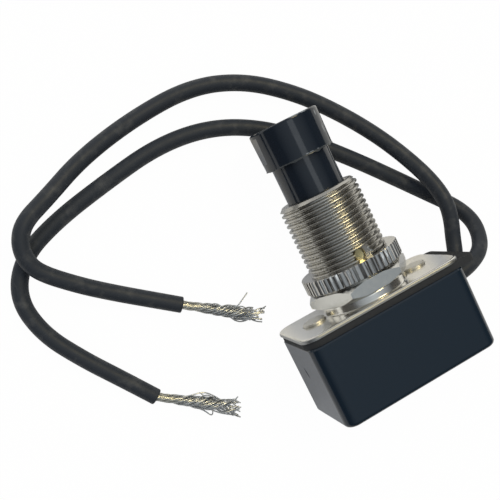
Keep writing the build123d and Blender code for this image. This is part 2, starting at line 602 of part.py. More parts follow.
def make_bare_end(route, tip):
    """Bundle of bare strands, opening towards its tip; it lies on the table."""
    before, start, end = Vector(*route[-2]), Vector(*route[-1]), Vector(*tip)
    small = Plane(start, z_dir=start - before) * Circle(CONDUCTOR_RADIUS)
    large = Plane(end, z_dir=end - start) * Circle(BARE_END_TIP_RADIUS)
    return loft([small, large])


PIECES = {
    "housing": lay(make_housing()),
    "mounting_plate": lay(make_mounting_plate()),
    "insulator_sheet": lay(make_insulator_sheet()),
    "left_rivet": lay(make_plate_rivet(-1)),
    "right_rivet": lay(make_plate_rivet(1)),
    "threaded_bushing": lay(make_threaded_bushing()),
    "hex_nut": lay(make_hex_nut()),
    "knurled_nut": lay(make_knurled_nut()),
    "button": lay(make_button()),
    "return_spring": lay(make_return_spring()),
    "thrust_washer": lay(make_thrust_washer()),
    "index_rotor": lay(make_index_rotor()),
    "rotor_pivot": lay(make_rotor_pivot()),
    "contact_bridge": lay(make_contact_bridge()),
    "left_contact": lay(make_contact(-1)),
    "right_contact": lay(make_contact(1)),
    "left_contact_rivet": lay(make_contact_rivet(-1)),
    "right_contact_rivet": lay(make_contact_rivet(1)),
    "lead_a_inner_end": lay(make_inner_end(1)),
    "lead_b_inner_end": lay(make_inner_end(-1)),
    "lead_a_insulation": make_lead("lead A", LEAD_A_ROUTE),
    "lead_b_insulation": make_lead("lead B", LEAD_B_ROUTE),
    "lead_a_bare_end": make_bare_end(LEAD_A_ROUTE, LEAD_A_TIP),
    "lead_b_bare_end": make_bare_end(LEAD_B_ROUTE, LEAD_B_TIP),
}

os.makedirs("parts", exist_ok=True)
for node, piece in PIECES.items():
    export_step(piece, f"parts/{node}.step")
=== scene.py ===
"""Looks of the lying canopy switch: cut thread, fluted nut, leads with bare strands, finishes and studio.

Sizes are millimetres in the frame of the CAD model and become metres where geometry is made. The
bushing's axis runs along +Y at the height AXIS_Z. Heights along it are counted from the mounting
plate's top, and angles round it from the front, which faces +Z, towards +X.
"""
import random
from math import cos, radians, sin, sqrt, tau

import bmesh
import bpy
from mathutils import Matrix, Vector


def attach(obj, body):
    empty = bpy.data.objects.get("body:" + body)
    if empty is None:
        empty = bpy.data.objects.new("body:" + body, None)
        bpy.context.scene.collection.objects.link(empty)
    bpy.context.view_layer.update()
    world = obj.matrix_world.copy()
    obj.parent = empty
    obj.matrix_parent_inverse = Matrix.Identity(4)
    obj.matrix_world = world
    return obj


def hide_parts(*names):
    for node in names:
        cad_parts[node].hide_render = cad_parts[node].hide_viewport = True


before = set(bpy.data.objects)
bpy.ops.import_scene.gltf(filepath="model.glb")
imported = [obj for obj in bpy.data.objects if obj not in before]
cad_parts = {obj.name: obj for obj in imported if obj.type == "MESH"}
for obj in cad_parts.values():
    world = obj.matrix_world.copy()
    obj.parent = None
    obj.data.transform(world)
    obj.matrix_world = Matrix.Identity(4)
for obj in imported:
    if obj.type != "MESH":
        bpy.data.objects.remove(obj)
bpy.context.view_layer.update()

MM = 0.001
AXIS_Z = 7.8
PLATE_TOP_Y = 7.8

# Camera that stood where the photograph was taken
CAMERA_PLACE = (-35.61, 34.06, 121.03)
CAMERA_RIGHT = (0.8562, -0.4378, 0.2744)
CAMERA_BACK = (-0.2138, 0.1832, 0.9595)
CAMERA_LENS = 59.78
CAMERA_SENSOR = 36.0
CAMERA_SHIFT = (-0.08, 0.10)
CAMERA_CLIP = 5.0

# Threaded bushing: 15/32-32 thread; the profile gives depths at shares of the way from crest to root
THREAD_RADIUS = 5.95
THREAD_PITCH = 25.4 / 32
THREAD_PROFILE = ((0.0, 0.0), (0.12, 0.005), (0.24, 0.02), (0.35, 0.044), (0.82, 0.44), (1.0, 0.44))
THREAD_ROWS_PER_PITCH = 20
THREAD_COLUMNS = 144
GROOVE_START = 5.00625
GROOVE_TURN = 0.25
PLAIN_BELOW_KNURL_TOP = 0.35
PITCH_RADIUS = 5.69
BUSHING_BORE_RADIUS = 4.415
BUSHING_NECK_RADIUS = 5.115
BUSHING_FLARE_RADIUS = 5.515
BUSHING_TOP = 16.5
BUSHING_CHAMFER = 0.55
BORE_CHAMFER = 0.15
BOSS_TOP = 1.3
BOSS_UNDERSIDE = 0.7
FLARE_BOTTOM = 0.1

# Punch marks that lock the thread, as (angle in degrees, height, radius, depth)
PUNCH_MARKS = ((9.5, 6.3, 1.1, 0.28), (0.0, 6.6, 0.85, 0.40))
PUNCH_FLOOR = 0.8
PUNCH_DISH = 0.10
PUNCH_STRETCH = 1.3

# Columns added round the marks, in steps of degrees; every third is left out, as a column stands near it
PUNCH_STEP = 0.8
PUNCH_STEPS = range(-13, 28)
ANGLE_DIGITS = 9

# Knurled nut; a flute's section is (share of its width, share of its depth), and its lowest point leans
KNURL_BOTTOM = 3.6
KNURL_TOP = 5.8
KNURL_RADIUS = 7.5
KNURL_BORE_RADIUS = 5.72
KNURL_CHAMFER = 0.1
KNURL_FLUTES = 54
KNURL_FLUTE = ((0.0, 0.0), (0.16, 0.0), (0.36, 0.03), (0.50, 0.3), (0.70, 1.0), (0.90, 0.35))
KNURL_LOWEST = 1.0
KNURL_DEPTH = 0.24
KNURL_DEPTHS = (0.75, 1.05)
KNURL_WIDTHS = (0.8, 1.22)
KNURL_LEAN = 0.05
KNURL_SEED = 11

# Flash that the mould left round the cap's lower edge
CAP_BOTTOM = 21.95
CAP_LOWER_RADIUS = 5.08
FLASH_REACH = 0.07
FLASH_REACHES = (0.35, 1.0)
FLASH_HEIGHT = 0.16
FLASH_SHOULDER = 0.064
FLASH_DROP = 0.3
FLASH_THICKNESS = 0.12
FLASH_COLUMNS = 120
FLASH_SEED = 5

# Leads: route points as in the CAD model, where a lead leaves the housing, and the strands' tip
LEAD_RADIUS = 1.2
LEAD_A_EXIT = (12.7, 3.8, 6.3)
LEAD_B_EXIT = (12.7, 3.8, 9.3)
LEAD_A_LENGTH = 117.7
LEAD_B_LENGTH = 121.4
LEAD_A_ROUTE = (
    (10.95, 3.8, 6.3), (13.9, 3.8, 6.3), (16.4, 5.4, 5.6), (17.5, 8.2, 5.1), (18.3, 10.9, 5.5),
    (18.7, 13.8, 5.6), (18.3, 17.5, 4.7), (17.1, 21.8, 3.0), (14.8, 26.9, 1.6), (11.0, 32.4, 1.2),
    (6.0, 38.0, 1.2), (-0.6, 43.0, 1.2), (-8.2, 45.4, 1.2), (-17.6, 44.8, 1.2), (-26.6, 42.9, 1.6),
    (-33.4, 40.0, 3.3), (-37.4, 38.5, 4.2), (-39.2, 36.4, 4.1), (-39.7, 33.9, 3.8), (-38.9, 31.5, 3.3),
    (-35.0, 27.5, 2.5), (-31.3, 24.3, 1.5), (-27.4, 21.2, 1.2), (-23.7, 18.3, 1.2),
)
LEAD_A_TIP = (-13.8, 11.1, 0.95)
LEAD_B_ROUTE = (
    (10.95, 3.8, 9.3), (14.6, 3.8, 9.3), (18.6, 4.6, 8.2), (21.1, 5.9, 6.0), (22.4, 8.6, 3.8),
    (21.6, 11.6, 2.1), (19.4, 14.4, 1.2), (15.2, 19.3, 1.2), (10.2, 25.0, 1.2), (4.9, 30.5, 1.2),
    (-0.8, 35.6, 1.2), (-8.0, 39.1, 1.2), (-16.2, 40.0, 1.2), (-25.4, 38.5, 1.2), (-33.6, 36.8, 1.2),
    (-39.8, 34.4, 1.2), (-43.2, 29.8, 1.2), (-42.6, 23.8, 1.2), (-39.4, 17.9, 1.2), (-36.1, 12.9, 1.2),
    (-33.1, 8.2, 1.2),
)
LEAD_B_TIP = (-23.0, 0.4, 0.95)

# How finely curves are divided, as (steps between points, steps round a quarter of the section)
CURVE_ORDER = 3
LEAD_STEPS = (10, 8)
STRAND_STEPS = (3, 1)

# Cut end of the insulation, as (distance past the end, radius)
CUT_END = ((-0.05, 1.2), (0.05, 1.18), (0.11, 1.12), (0.13, 1.0), (0.11, 0.8), (0.0, 0.62), (-0.05, 0.6))
CUT_END_COLUMNS = 40

# Strands: a twisted bundle that opens past a share of its length, where each strand waves about
STRAND_RADIUS = 0.1
STRAND_OFF_FLOOR = 0.01
STRAND_COUNT = 34
STRAND_GOLDEN_TURN = 0.381966
STRAND_BUNDLE_RADIUS = 0.62
STRAND_POINTS = 20
STRAND_REACHES = (0.80, 1.03)
STRAND_TURNS = 1.5
STRAND_TURNS_SPREAD = 0.15
STRAND_OPENS_AT = 0.2
STRAND_OPENING = 2.2
STRAND_SPREAD = 0.42
STRAND_WANDER = 0.75
STRAND_WANDER_POWER = 1.2
STRAND_WANDER_LIFT = 0.7
STRAND_WAVE_ACROSS = 7
STRAND_WAVE_LIFT = 6
STRAND_WAVE_START = 4
STRAND_DRAWS = 6
STRAND_A_SEED = 3
STRAND_B_SEED = 8
STRAYS_A = (
    ((-17.9, 14.48, 1.2), (-16.73, 14.1, 1.6), (-15.49, 14.73, 1.6), (-14.26, 15.32, 1.5)),
    ((-20.86, 16.04, 0.8), (-19.61, 14.74, 0.4), (-18.32, 13.18, 0.15), (-17.6, 12.96, 0.2),
     (-16.75, 13.13, 0.6)),
    ((-18.11, 13.88, 0.8), (-17.2, 12.58, 0.3), (-16.52, 11.67, 0.12), (-15.85, 11.69, 0.2),
     (-14.94, 11.98, 0.6)),
)
STRAYS_B = (
    ((-29.73, 6.24, 1.4), (-28.47, 5.84, 1.5), (-26.72, 5.46, 1.4), (-25.46, 3.84, 1.3), (-24.98, 2.77, 1.2)),
    ((-27.26, 5.61, 1.5), (-26.94, 4.86, 1.7), (-26.63, 3.13, 1.6)),
    ((-24.8, 1.8, 1.2), (-23.99, 1.72, 1.4), (-22.58, 2.18, 1.3)),
    ((-29.03, 4.52, 0.8), (-28.54, 3.35, 0.3), (-27.82, 2.58, 0.15), (-27.29, 1.27, 0.12), (-26.8, 1.77, 0.5),
     (-26.67, 2.65, 0.9)),
    ((-27.57, 3.15, 0.8), (-26.45, 1.52, 0.3), (-25.26, 0.44, 0.15), (-23.95, -0.56, 0.12)),
)

# Finishes: rough is (scale of its noise, least, most), relief is (scale of its noise, detail, depth, stretch)
FINISHES = {
    "housing_resin": dict(
        colour=(0.006, 0.013, 0.023), specular=0.4, rough=(900, 0.14, 0.19), relief=(1500, 2.0, 0.002, None),
    ),
    "cap_flash": dict(colour=(0.03, 0.035, 0.04), rough=(1500, 0.2, 0.4)),
    "button_resin": dict(
        colour=(0.007, 0.011, 0.018), rough=(1100, 0.08, 0.15), relief=(1800, 2.0, 0.003, None),
    ),
    "nickel_thread": dict(colour=(0.52, 0.51, 0.48), metallic=1.0, rough=(1300, 0.2, 0.32)),
    "nickel_knurl": dict(
        colour=(0.56, 0.555, 0.54), metallic=1.0, rough=(2500, 0.07, 0.16),
        relief=(5200, 2.0, 0.03, (1, 0.06, 1)),
    ),
    "nickel_satin": dict(
        colour=(0.645, 0.645, 0.62), metallic=1.0, rough=(1400, 0.14, 0.24),
        relief=(3000, 3.0, 0.004, (1, 0.15, 1)),
    ),
    "nickel_plate": dict(
        colour=(0.86, 0.85, 0.81), metallic=1.0, rough=(800, 0.13, 0.22), relief=(700, 2.0, 0.01, None),
    ),
    "rivet_nickel": dict(colour=(0.7, 0.69, 0.65), metallic=1.0, rough=(1800, 0.44, 0.56)),
    "fibre_black": dict(
        colour=(0.024, 0.026, 0.03), specular=0.25, rough=(1500, 0.65, 0.85), relief=(2600, 4.0, 0.03, None),
    ),
    "spring_steel": dict(colour=(0.45, 0.45, 0.45), metallic=1.0, rough=(2000, 0.22, 0.38)),
    "rotor_resin": dict(colour=(0.62, 0.60, 0.54), rough=(1500, 0.36, 0.5)),
    "contact_brass": dict(colour=(0.68, 0.48, 0.19), metallic=1.0, rough=(1600, 0.2, 0.36)),
    "lead_vinyl": dict(
        colour=(0.022, 0.027, 0.036), specular=0.28, rough=(900, 0.44, 0.56), relief=(1200, 3.0, 0.012, None),
    ),
    "tinned_copper": dict(colour=(0.67, 0.69, 0.7), metallic=1.0, rough=(1500, 0.2, 0.36)),
}

# CAD pieces that wear each finish
SLOT_NODES = {
    "housing_resin": ("housing",),
    "button_resin": ("button",),
    "nickel_satin": ("hex_nut",),
    "nickel_plate": ("mounting_plate",),
    "rivet_nickel": ("left_rivet", "right_rivet"),
    "fibre_black": ("insulator_sheet",),
    "spring_steel": ("return_spring", "thrust_washer", "rotor_pivot"),
    "rotor_resin": ("index_rotor",),
    "contact_brass": (
        "contact_bridge", "left_contact", "right_contact", "left_contact_rivet", "right_contact_rivet",
    ),
    "tinned_copper": ("lead_a_inner_end", "lead_b_inner_end"),
}

# Marks of making and wear, and painted highlights on the cap's flash and at the strands' roots: specks are
# (scale, size, share of cells), patches (scale, detail, start, end) of their noise, and spots (centre, radii,
# turn about X in degrees, share of the radius that is solid)
SPECK_CORE = 0.6
SPECK_STEP = 0.01
HOUSING_SPECKS = (420, 0.05, 0.10)
HOUSING_SPECK_COLOUR = (0.35, 0.36, 0.38)
HOUSING_DENT = ((-12.7, 1.55, 6.67), (0.5, 1.0, 0.22), -24, 0.85)
# Painted highlights: light patches on the cap's flash stand in for glints on its lower rim
FLASH_GLINTS = (620, 1.0, 0.6, 0.68)
FLASH_GLINT_COLOUR = (0.42, 0.44, 0.46)
PUNCH_BRASS = ((0.0, 14.4, 13.4), (1.1, 1.4, 1.1))
PUNCH_BRASS_COLOUR = (0.46, 0.40, 0.22)
PLATE_SPECKS = (700, 0.07, 0.12)
PLATE_SPECK_COLOUR = (0.2, 0.19, 0.18)
LEAD_SCUFFS = (650, 6.0, 0.52, 0.8)
LEAD_SCUFF_COLOUR = (0.055, 0.058, 0.062)
# Painted highlight: a lighter, yellower tone on the strands where they leave the insulation
STRAND_ROOT_HIGHLIGHT_RADII = (4.0, 4.0, 4.0)
STRAND_ROOT_HIGHLIGHT_COLOUR = (0.69, 0.69, 0.64)

# Painted glints on the cap's edges: light spots that stand in for highlights, as (angle in degrees, height,
# half width, half height)
CAP_RADIUS = 5.15
CAP_GLINTS = (
    (2.8, 27.42, 1.1, 0.12), (20.0, 27.4, 0.7, 0.12), (44.0, 26.6, 0.2, 0.45), (49.0, 24.2, 0.2, 0.8),
    (4.0, 22.05, 0.5, 0.14), (-3.5, 22.1, 0.35, 0.1), (16.5, 22.05, 0.25, 0.12),
)
CAP_GLINT_COLOUR = (0.16, 0.18, 0.2)

# Dull sheared rim of the plate, below its rolled-over top edge; its darker colour is partly painted shade
PLATE_RIM_DROP = 0.1
PLATE_RIM_SOFT = 0.12
PLATE_RIM_DULL_AND_SHADE_COLOUR = (0.36, 0.37, 0.38)
PLATE_RIM_ROUGHNESS = 0.45

# Painted shade round the heads of the plate's rivets: a dark ring where their shadow falls on the plate
RIVET_X = 8.615
RIVET_SHADE_RADII = (1.98, 0.5, 1.98)
RIVET_SHADE_CORE = 0.9
RIVET_SHADE_COLOUR = (0.24, 0.23, 0.21)

# Studio: lamps as (place, width, height, power in watts, colour), and the ambient light's least and most
KEY_LAMP = ((60.0, -40.0, 900.0), 300.0, 140.0, 0.13, (0.92, 0.97, 1.0))
WARM_LAMP = ((262.0, 262.0, 610.0), 220.0, 220.0, 1.6, (1.0, 0.83, 0.46))
AMBIENT = (0.3, 1.35)
AMBIENT_FROM = (0.45, 0.89, 0.0)
AMBIENT_COLOUR = (0.96, 0.99, 1.03, 1)

# What mirrors see: a room with colours by the share of the way up, and a bright wall beyond the button
ROOM_COLOURS = (
    (0.0, (0.07, 0.065, 0.06, 1)), (0.55, (0.05, 0.05, 0.05, 1)),
    (0.8, (0.26, 0.28, 0.30, 1)), (1.0, (0.42, 0.46, 0.49, 1)),
)
ROOM_WALL = (0.55, 0.55, 0.54, 1)
ROOM_WALL_FROM = 0.55
ROOM_WALL_FULL = 0.95

# Floor, and the share of even white that each kind of ray sees in it
FLOOR_SIZE = 3000.0
FLOOR_DROP = 0.02
FLOOR_COLOUR = (0.74, 0.74, 0.74, 1)
FLOOR_WHITE = 1.0
FLOOR_GLOW = {"Is Camera Ray": 0.98, "Is Glossy Ray": 0.18, "Is Transmission Ray": 0.18}


def metres(point):
    """Frame point in metres."""
    return Vector(point) * MM


def round_axis(radius, angle, height):
    """Frame point at a radius and angle round the bushing's axis."""
    return radius * sin(angle), PLATE_TOP_Y + height, AXIS_Z + radius * cos(angle)


def even_angles(count):
    """Angles that divide a full turn."""
    return [tau * column / count for column in range(count)]


def add_object(name, data):
    """Object with the data, in the scene."""
    piece = bpy.data.objects.new(name, data)
    bpy.context.scene.collection.objects.link(piece)
    return piece


def stand(piece, where, right, back):
    """Puts a camera or lamp at a frame point, looking away from back."""
    turn = Matrix((right, back.cross(right), back)).transposed()
    piece.matrix_world = Matrix.Translation(metres(where)) @ turn.to_4x4()


def add_mesh(name, verts, faces, body, sharp_angle):
    """Mesh piece with outward normals, smooth but for edges sharper than the angle, riding on a body."""
    mesh = bpy.data.meshes.new(name)
    mesh.from_pydata(verts, [], faces)
    bm = bmesh.new()
    bm.from_mesh(mesh)
    bmesh.ops.recalc_face_normals(bm, faces=bm.faces)
    bm.to_mesh(mesh)
    bm.free()
    mesh.shade_smooth()
    mesh.set_sharp_from_angle(angle=radians(sharp_angle))
    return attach(add_object(name, mesh), body)


def ring_faces(rows, count):
    """Faces that close a grid of rows of points in both directions."""
    faces = []
    for row in range(rows):
        low, high = row * count, (row + 1) % rows * count
        for column in range(count):
            beside = (column + 1) % count
            faces.append((low + column, low + beside, high + beside, high + column))
    return faces


def add_ring(name, rows, angles, body, sharp_angle):
    """Closed ring about the bushing's axis from rows of (height, radius at each angle)."""
    verts = [
        metres(round_axis(radius, angle, height))
        for height, radii in rows for angle, radius in zip(angles, radii)
    ]
    return add_mesh(name, verts, ring_faces(len(rows), len(angles)), body, sharp_angle)


# Camera

def add_camera():
    """Camera at the photograph's viewing angle."""
    back = Vector(CAMERA_BACK).normalized()
    right = Vector(CAMERA_RIGHT)
    right = (right - right.dot(back) * back).normalized()
    data = bpy.data.cameras.new("photo_camera")
    data.sensor_width = CAMERA_SENSOR
    data.lens = CAMERA_LENS
    data.shift_x, data.shift_y = CAMERA_SHIFT
    data.clip_start = CAMERA_CLIP * MM
    camera = add_object("photo_camera", data)
    stand(camera, CAMERA_PLACE, right, back)
    bpy.context.scene.camera = camera


# Bushing with its cut thread

def thread_radius(angle, height):
    """Radius of the right-hand thread's surface, cut off by the chamfer at the bushing's top."""
    turn = ((height - GROOVE_START) / THREAD_PITCH - angle / tau + GROOVE_TURN) % 1.0
    share = abs(2 * turn - 1)
    for (start, low), (end, high) in zip(THREAD_PROFILE, THREAD_PROFILE[1:]):
        if start <= share <= end:
            depth = low + (high - low) * (share - start) / (end - start)
    cone = THREAD_RADIUS - BUSHING_CHAMFER + BUSHING_TOP - height
    return min(THREAD_RADIUS - depth, cone)


def punched_radius(angle, height):
    """Thread surface with its punch marks: shallow round dishes with a lip."""
    radius = thread_radius(angle, height)
    turned = angle if angle < tau / 2 else angle - tau
    for mark_angle, mark_height, mark_radius, depth in PUNCH_MARKS:
        across = (turned - radians(mark_angle)) * THREAD_RADIUS
        away = sqrt(across ** 2 + ((height - mark_height) / PUNCH_STRETCH) ** 2) / mark_radius
        dish = THREAD_RADIUS - depth + PUNCH_DISH * away ** 2
        if away < PUNCH_FLOOR:
            radius = dish
        elif away < 1.0:
            lip = (away - PUNCH_FLOOR) / (1 - PUNCH_FLOOR)
            radius = max(radius, dish + (THREAD_RADIUS - dish) * lip)
    return radius


def add_bushing():
    """Bushing: flare and neck in the plate, thread to the chamfered top, and its bore."""
    finer = [radians(step * PUNCH_STEP) % tau for step in PUNCH_STEPS if step % 3]
    angles = sorted({round(angle, ANGLE_DIGITS) for angle in even_angles(THREAD_COLUMNS) + finer})

    def even(height, radius):
        return height, [radius] * len(angles)

    rows = [
        even(FLARE_BOTTOM, BUSHING_BORE_RADIUS),
        even(FLARE_BOTTOM, BUSHING_FLARE_RADIUS),
        even(BOSS_UNDERSIDE, BUSHING_FLARE_RADIUS),
        even(BOSS_UNDERSIDE, BUSHING_NECK_RADIUS),
        even(BOSS_TOP, BUSHING_NECK_RADIUS),
        even(BOSS_TOP, PITCH_RADIUS),
        even(KNURL_TOP - PLAIN_BELOW_KNURL_TOP, PITCH_RADIUS),
    ]
    count = int((BUSHING_TOP - KNURL_TOP) / (THREAD_PITCH / THREAD_ROWS_PER_PITCH))
    for row in range(count + 1):
        height = KNURL_TOP + (BUSHING_TOP - KNURL_TOP) * row / count
        rows.append((height, [punched_radius(angle, height) for angle in angles]))
    rows += [
        even(BUSHING_TOP, BUSHING_BORE_RADIUS + BORE_CHAMFER),
        even(BUSHING_TOP - BORE_CHAMFER, BUSHING_BORE_RADIUS),
    ]
    bushing = add_ring("cut_thread", rows, angles, "switch_body", sharp_angle=50)
    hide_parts("threaded_bushing")
    return bushing


# Knurled nut with uneven rolled flutes

def add_knurled_nut():
    """Round nut whose flutes differ a little in width and depth and run to both faces."""
    rng = random.Random(KNURL_SEED)
    widths = [rng.uniform(*KNURL_WIDTHS) for _ in range(KNURL_FLUTES)]
    angles, radii = [], []
    angle = 0.0
    for width in widths:
        span = tau * width / sum(widths)
        depth = KNURL_DEPTH * rng.uniform(*KNURL_DEPTHS)
        lean = rng.uniform(-KNURL_LEAN, KNURL_LEAN)
        for share, dip in KNURL_FLUTE:
            if dip == KNURL_LOWEST:
                share += lean
            angles.append(angle + span * share)
            radii.append(KNURL_RADIUS - depth * dip)
        angle += span
    face = [min(radius, KNURL_RADIUS - KNURL_CHAMFER) for radius in radii]
    bore = [KNURL_BORE_RADIUS] * len(angles)
    rows = [
        (KNURL_BOTTOM, bore),
        (KNURL_BOTTOM, face),
        (KNURL_BOTTOM + KNURL_CHAMFER, radii),
        (KNURL_TOP - KNURL_CHAMFER, radii),
        (KNURL_TOP, face),
        (KNURL_TOP, bore),
    ]
    nut = add_ring("fluted_nut", rows, angles, "switch_body", sharp_angle=28)
    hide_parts("knurled_nut")
    return nut


# Mould flash on the cap

def add_cap_flash():
    """Thin skirt round the cap's lower edge that reaches out and hangs down unevenly."""
    rng = random.Random(FLASH_SEED)
    angles = even_angles(FLASH_COLUMNS)
    outer = [CAP_LOWER_RADIUS + FLASH_REACH * rng.uniform(*FLASH_REACHES) for _ in angles]
    inner = [radius - FLASH_THICKNESS for radius in outer]
    ragged = [FLASH_DROP * rng.uniform(0.0, 1.0) ** 2 for _ in angles]
    before, after = ragged[-1:] + ragged[:-1], ragged[1:] + ragged[:1]
    hanging = [-(left + 2 * here + right) / 4 for left, here, right in zip(before, ragged, after)]
    rows = (
        (inner, [FLASH_HEIGHT] * FLASH_COLUMNS),
        (outer, [FLASH_SHOULDER] * FLASH_COLUMNS),
        (outer, hanging),
        (inner, hanging),
    )
    verts = [
        metres(round_axis(radius, angle, CAP_BOTTOM + lift))
        for radii, lifts in rows for angle, radius, lift in zip(angles, radii, lifts)
    ]
    flash = add_mesh("cap_flash", verts, ring_faces(len(rows), FLASH_COLUMNS), "push_button", sharp_angle=60)
    return flash


# Leads

def directions_across(along):
    """Level direction across a run, and the upward one across both."""
    side = along.cross(Vector((0, 0, 1))).normalized()
    return side, side.cross(along)


def add_curve(name, radius, routes, steps, roundness):
    """Curve piece that rides on the body: one smooth run of round section for each route in metres.

    Each point carries the run's radius under a bevel of 1, because a box round the curve counts it.
    """
    curve = bpy.data.curves.new(name, "CURVE")
    curve.dimensions = "3D"
    curve.bevel_depth = 1.0
    curve.bevel_resolution = roundness
    curve.use_fill_caps = True
    for route in routes:
        spline = curve.splines.new("NURBS")
        spline.points.add(len(route) - 1)
        for point, co in zip(spline.points, route):
            point.co = (*co, 1)
            point.radius = radius * MM
        spline.order_u = CURVE_ORDER
        spline.use_endpoint_u = True
        spline.resolution_u = steps
    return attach(add_object(name, curve), "switch_body")


def add_cut_end(name, route):
    """Softly rounded end of the insulation where it was stripped."""
    start = metres(route[-1])
    along = (start - metres(route[-2])).normalized()
    side, up = directions_across(along)
    verts = [
        start + (along * past + side * radius * cos(angle) + up * radius * sin(angle)) * MM
        for past, radius in CUT_END for angle in even_angles(CUT_END_COLUMNS)
    ]
    return add_mesh(name, verts, ring_faces(len(CUT_END), CUT_END_COLUMNS), "switch_body", sharp_angle=60)


def add_strands(name, route, tip, strays, seed):
    """Twisted strands at a lead's bare end, opening and fraying towards the tip, and stray ones."""
    rng = random.Random(seed)
    start = metres(route[-1])
    bare = metres(tip) - start
    length = bare.length
    along = bare.normalized()
    side, up = directions_across(along)
    routes = []
    for number in range(STRAND_COUNT):
        share = sqrt((number + 0.5) / STRAND_COUNT)
        phase = number * tau * STRAND_GOLDEN_TURN
        reach = rng.uniform(*STRAND_REACHES)
        turns = STRAND_TURNS + rng.uniform(-STRAND_TURNS_SPREAD, STRAND_TURNS_SPREAD)
        # Two draws more than are used: they keep each strand where it is
        draws = [rng.uniform(-1, 1) for _ in range(STRAND_DRAWS)]
        wave_across, start_across, wave_lift, start_lift = draws[:4]
        run = []
        for index in range(STRAND_POINTS):
            t = index / (STRAND_POINTS - 1) * reach
            opened = max(0.0, t - STRAND_OPENS_AT) / (1 - STRAND_OPENS_AT)
            radius = share * STRAND_BUNDLE_RADIUS + STRAND_SPREAD * share * min(1.0, STRAND_OPENING * opened)
            angle = phase + tau * turns * t
            loose = STRAND_WANDER * opened ** STRAND_WANDER_POWER
            swing = sin(STRAND_WAVE_ACROSS * t + STRAND_WAVE_START * start_across)
            bob = sin(STRAND_WAVE_LIFT * t + STRAND_WAVE_START * start_lift)
            across = radius * cos(angle) + loose * wave_across * swing
            lift = radius * sin(angle) + STRAND_WANDER_LIFT * loose * wave_lift * bob
            where = start + along * (t * length) + (side * across + up * lift) * MM
            where.z = max(where.z, (STRAND_RADIUS + STRAND_OFF_FLOOR) * MM)
            run.append(where)
        routes.append(run)
    routes += [[metres(point) for point in stray] for stray in strays]
    return add_curve(name, STRAND_RADIUS, routes, *STRAND_STEPS)


def add_lead(letter, route, exit_place, length, tip, strays, seed):
    """One lead: insulation with its cut end, and the strands."""
    jacket = add_curve(f"lead_{letter}_jacket", LEAD_RADIUS, [[metres(point) for point in route]], *LEAD_STEPS)
    cut_end = add_cut_end(f"lead_{letter}_cut_end", route)
    strands = add_strands(f"lead_{letter}_strands", route, tip, strays, seed)
    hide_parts(f"lead_{letter}_insulation")
    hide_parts(f"lead_{letter}_bare_end")
    return jacket, cut_end, strands


# Materials

def add_node(tree, kind, inputs, **settings):
    """Node with its settings; an input that is given a socket is linked to it, others take the value."""
    node = tree.nodes.new(kind)
    for name, value in settings.items():
        setattr(node, name, value)
    for key, value in inputs.items():
        if isinstance(value, bpy.types.NodeSocket):
            tree.links.new(value, node.inputs[key])
        else:
            node.inputs[key].default_value = value
    return node


